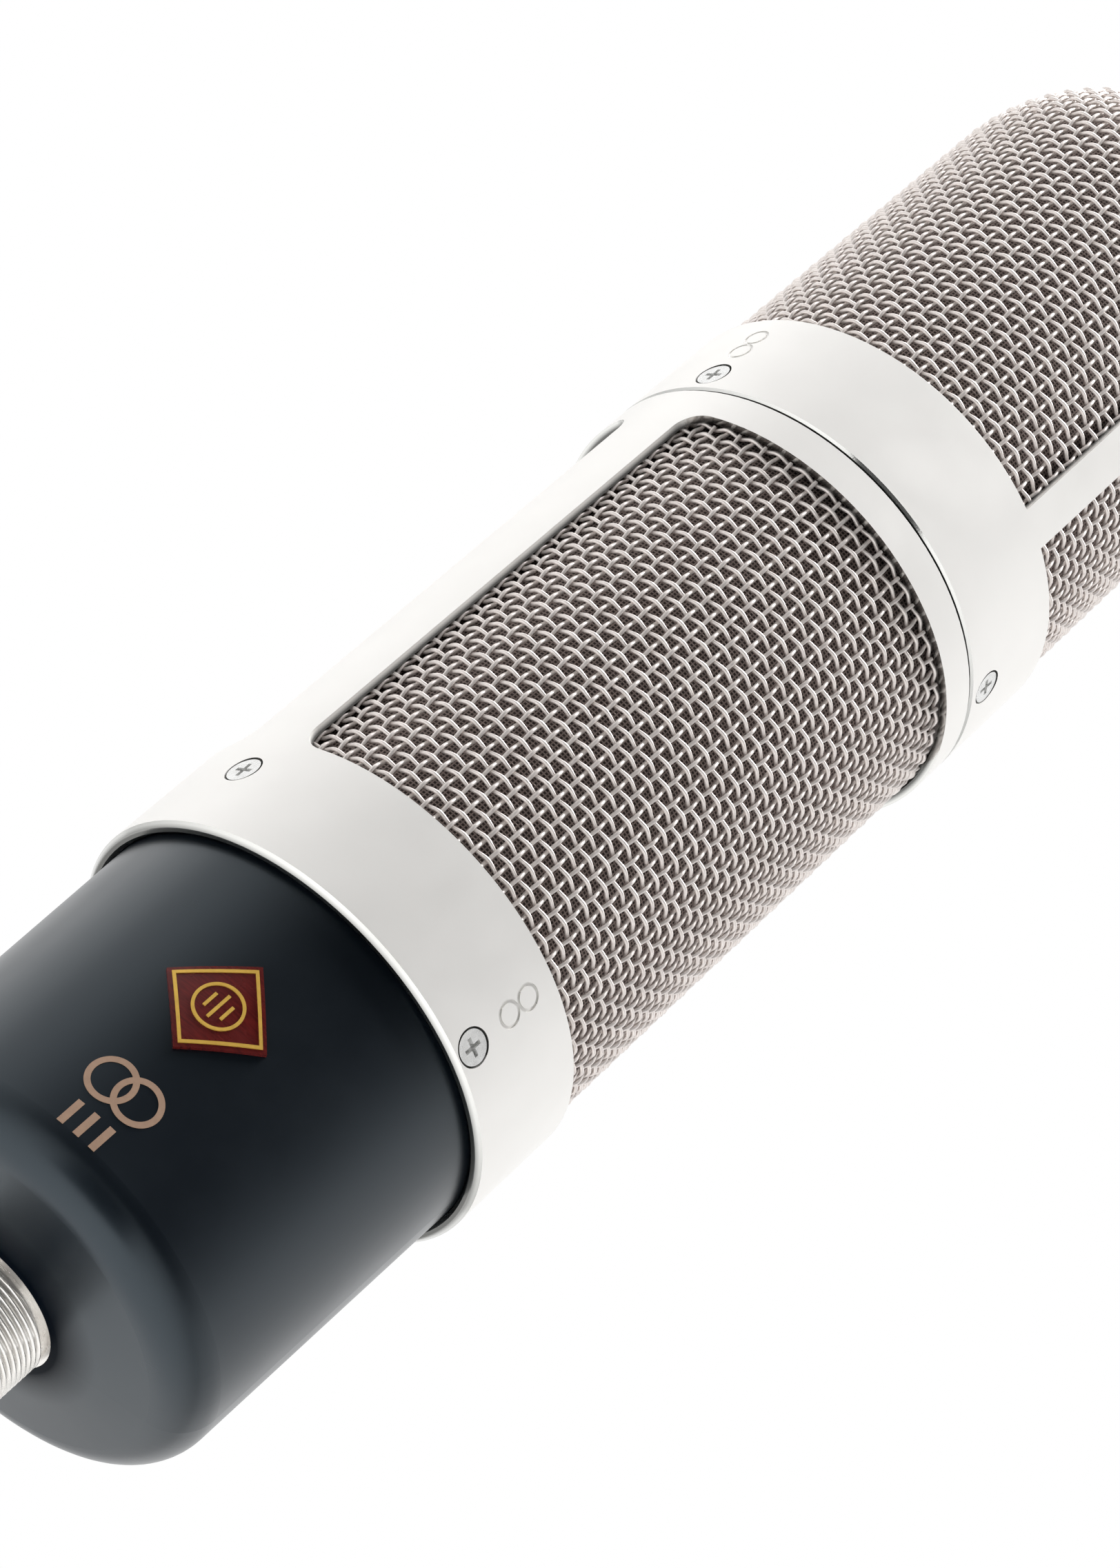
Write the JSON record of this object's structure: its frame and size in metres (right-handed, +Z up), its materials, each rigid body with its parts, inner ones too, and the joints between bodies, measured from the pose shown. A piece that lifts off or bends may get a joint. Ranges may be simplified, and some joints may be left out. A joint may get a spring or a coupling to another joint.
{
  "type": "ribbon microphone",
  "caption": "Stereo ribbon microphone: painted base on a threaded connector stem, a fixed lower capsule and a turning upper capsule behind woven mesh.",
  "frame": {"origin": "centre of the lower end face of the threaded stem", "axes": "+Z up along the microphone's axis towards the dome, -Y out of the face with the badge"},
  "size_m": [0.06, 0.06, 0.2705],
  "materials": {
    "body_paint": "satin blue-black paint",
    "frame_silver": "fine bead-blasted silver",
    "mesh_nickel": "bright nickel-plated woven wire",
    "screen_bronze": "fine dark woven screen",
    "stem_nickel": "nickel-plated thread",
    "screw_steel": "bright zinc-plated",
    "contact_gold": "gold-plated contacts",
    "holder_black": "moulded black plastic",
    "chassis_alu": "machined",
    "can_mumetal": "drawn shielding can",
    "core_iron": "tape-wound core",
    "winding_copper": "enamelled copper wire",
    "brass_part": "turned brass",
    "board_green": "glass-fibre board",
    "lead_red": "insulated wire",
    "cable_grey": "flexible sheath",
    "badge_enamel": "clear maroon enamel",
    "gilt_line": "polished gilt",
    "print_tan": "screen-printed tan ink",
    "yoke_iron": "blackened soft iron",
    "magnet_nickel": "nickel-plated magnet",
    "ribbon_foil": "corrugated foil",
    "insulator_cream": "laminated sheet",
    "washer_bronze": "spring bronze"
  },
  "bodies": {
    "base": {"body_shell": "body_paint", "stem_housing": "stem_nickel", "stem_screws": "screw_steel", "xlr_insert": "holder_black", "xlr_pins": "contact_gold", "chassis_posts": "chassis_alu", "chassis_plate": "chassis_alu", "chassis_screws": "screw_steel", "transformer_can_1": "can_mumetal", "transformer_can_2": "can_mumetal", "transformer_core_1": "core_iron", "transformer_core_2": "core_iron", "transformer_winding_1": "winding_copper", "transformer_winding_2": "winding_copper", "board_pillars": "brass_part", "terminal_board": "board_green", "board_screws": "screw_steel", "output_leads": "lead_red", "badge_plate": "badge_enamel", "badge_emblem": "gilt_line", "front_pictogram": "print_tan", "lower_frame": "frame_silver", "body_screws": "screw_steel", "lower_frame_screws": "screw_steel", "lower_mesh": "mesh_nickel", "lower_screen": "screen_bronze", "lower_motor_base": "chassis_alu", "lower_yoke": "yoke_iron", "lower_yoke_screws": "screw_steel", "lower_magnets": "magnet_nickel", "lower_poles": "yoke_iron", "lower_ribbon": "ribbon_foil", "lower_clamps": "brass_part", "lower_clamp_screws": "screw_steel", "lower_insulators": "insulator_cream", "lower_leads": "lead_red", "lower_pillars": "chassis_alu", "top_plate": "chassis_alu", "top_plate_screws": "screw_steel", "head_cable": "cable_grey", "pivot_bush": "brass_part", "friction_washer": "washer_bronze", "stop_pin": "screw_steel"},
    "head": {"hub_plate": "chassis_alu", "pivot_tube": "screw_steel", "pivot_ring": "screw_steel", "upper_frame": "frame_silver", "upper_frame_screws": "screw_steel", "upper_mesh": "mesh_nickel", "upper_screen": "screen_bronze", "upper_posts": "chassis_alu", "upper_yoke": "yoke_iron", "upper_yoke_screws": "screw_steel", "upper_magnets": "magnet_nickel", "upper_poles": "yoke_iron", "upper_ribbon": "ribbon_foil", "upper_clamps": "brass_part", "upper_clamp_screws": "screw_steel", "upper_insulators": "insulator_cream", "upper_leads": "lead_red"}
  },
  "joints": [
    {"name": "head_rotation", "type": "hinge", "parent": "base", "child": "head", "pos_m": [0, 0, 0.168], "axis": [0, 0, 1], "range_deg": [-90, 90]}
  ]
}
